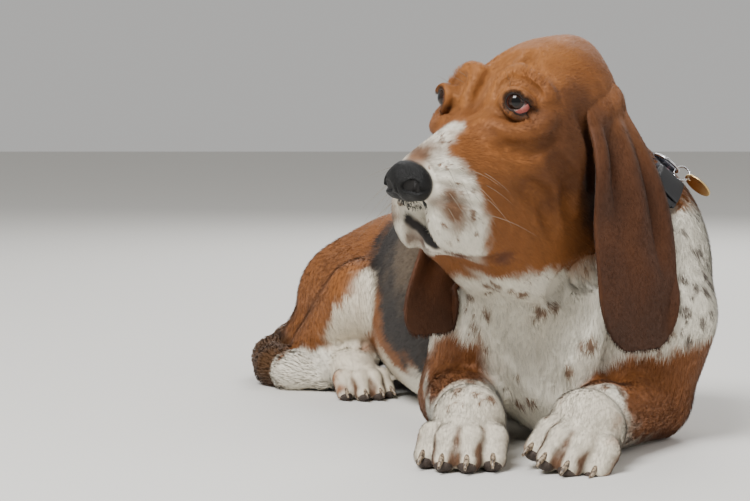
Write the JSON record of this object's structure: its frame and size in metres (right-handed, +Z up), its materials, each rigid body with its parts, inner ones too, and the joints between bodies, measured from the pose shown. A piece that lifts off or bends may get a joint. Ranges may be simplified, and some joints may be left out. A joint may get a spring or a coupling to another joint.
{
  "type": "lying basset hound",
  "caption": "Life-size basset hound with a short brown, black and white coat, lying on its belly with its head turned, with long hanging ears and a webbing collar with a tag.",
  "frame": {"origin": "on the floor, under the middle of the hound's box", "axes": "+X to the right of someone who looks at the hound's chest, +Y away from them, towards the rump, +Z up"},
  "size_m": [0.4976, 0.8168, 0.4035],
  "materials": {
    "coat": "short smooth hair, brown, black and white",
    "coat_ear": "short soft hair, dark brown",
    "coat_paw": "short smooth hair, cream white",
    "nose_leather": "moist black, finely pebbled",
    "eye": "wet and glossy, dark brown",
    "claw": "satin horn",
    "webbing": "navy woven webbing with a small light pattern",
    "buckle_plastic": "satin black",
    "ring_steel": "bright wire",
    "tag_brass": "brushed, plain"
  },
  "bodies": {
    "root": {"head": "coat", "neck": "coat", "torso": "coat", "foreleg_left": "coat", "foreleg_right": "coat", "hindleg_left": "coat", "hindleg_right": "coat", "tail": "coat", "ear_left": "coat_ear", "ear_right": "coat_ear", "forepaw_left": "coat_paw", "forepaw_right": "coat_paw", "hindpaw_left": "coat_paw", "hindpaw_right": "coat_paw", "nose": "nose_leather", "eye_left": "eye", "eye_right": "eye", "claw_fore_left_1": "claw", "claw_fore_left_2": "claw", "claw_fore_left_3": "claw", "claw_fore_left_4": "claw", "claw_fore_right_1": "claw", "claw_fore_right_2": "claw", "claw_fore_right_3": "claw", "claw_fore_right_4": "claw", "claw_hind_left_1": "claw", "claw_hind_left_2": "claw", "claw_hind_left_3": "claw", "claw_hind_left_4": "claw", "claw_hind_right_1": "claw", "claw_hind_right_2": "claw", "claw_hind_right_3": "claw", "claw_hind_right_4": "claw", "collar_band": "webbing", "collar_buckle": "buckle_plastic", "collar_ring": "ring_steel", "tag_ring": "ring_steel", "tag": "tag_brass"}
  },
  "joints": []
}
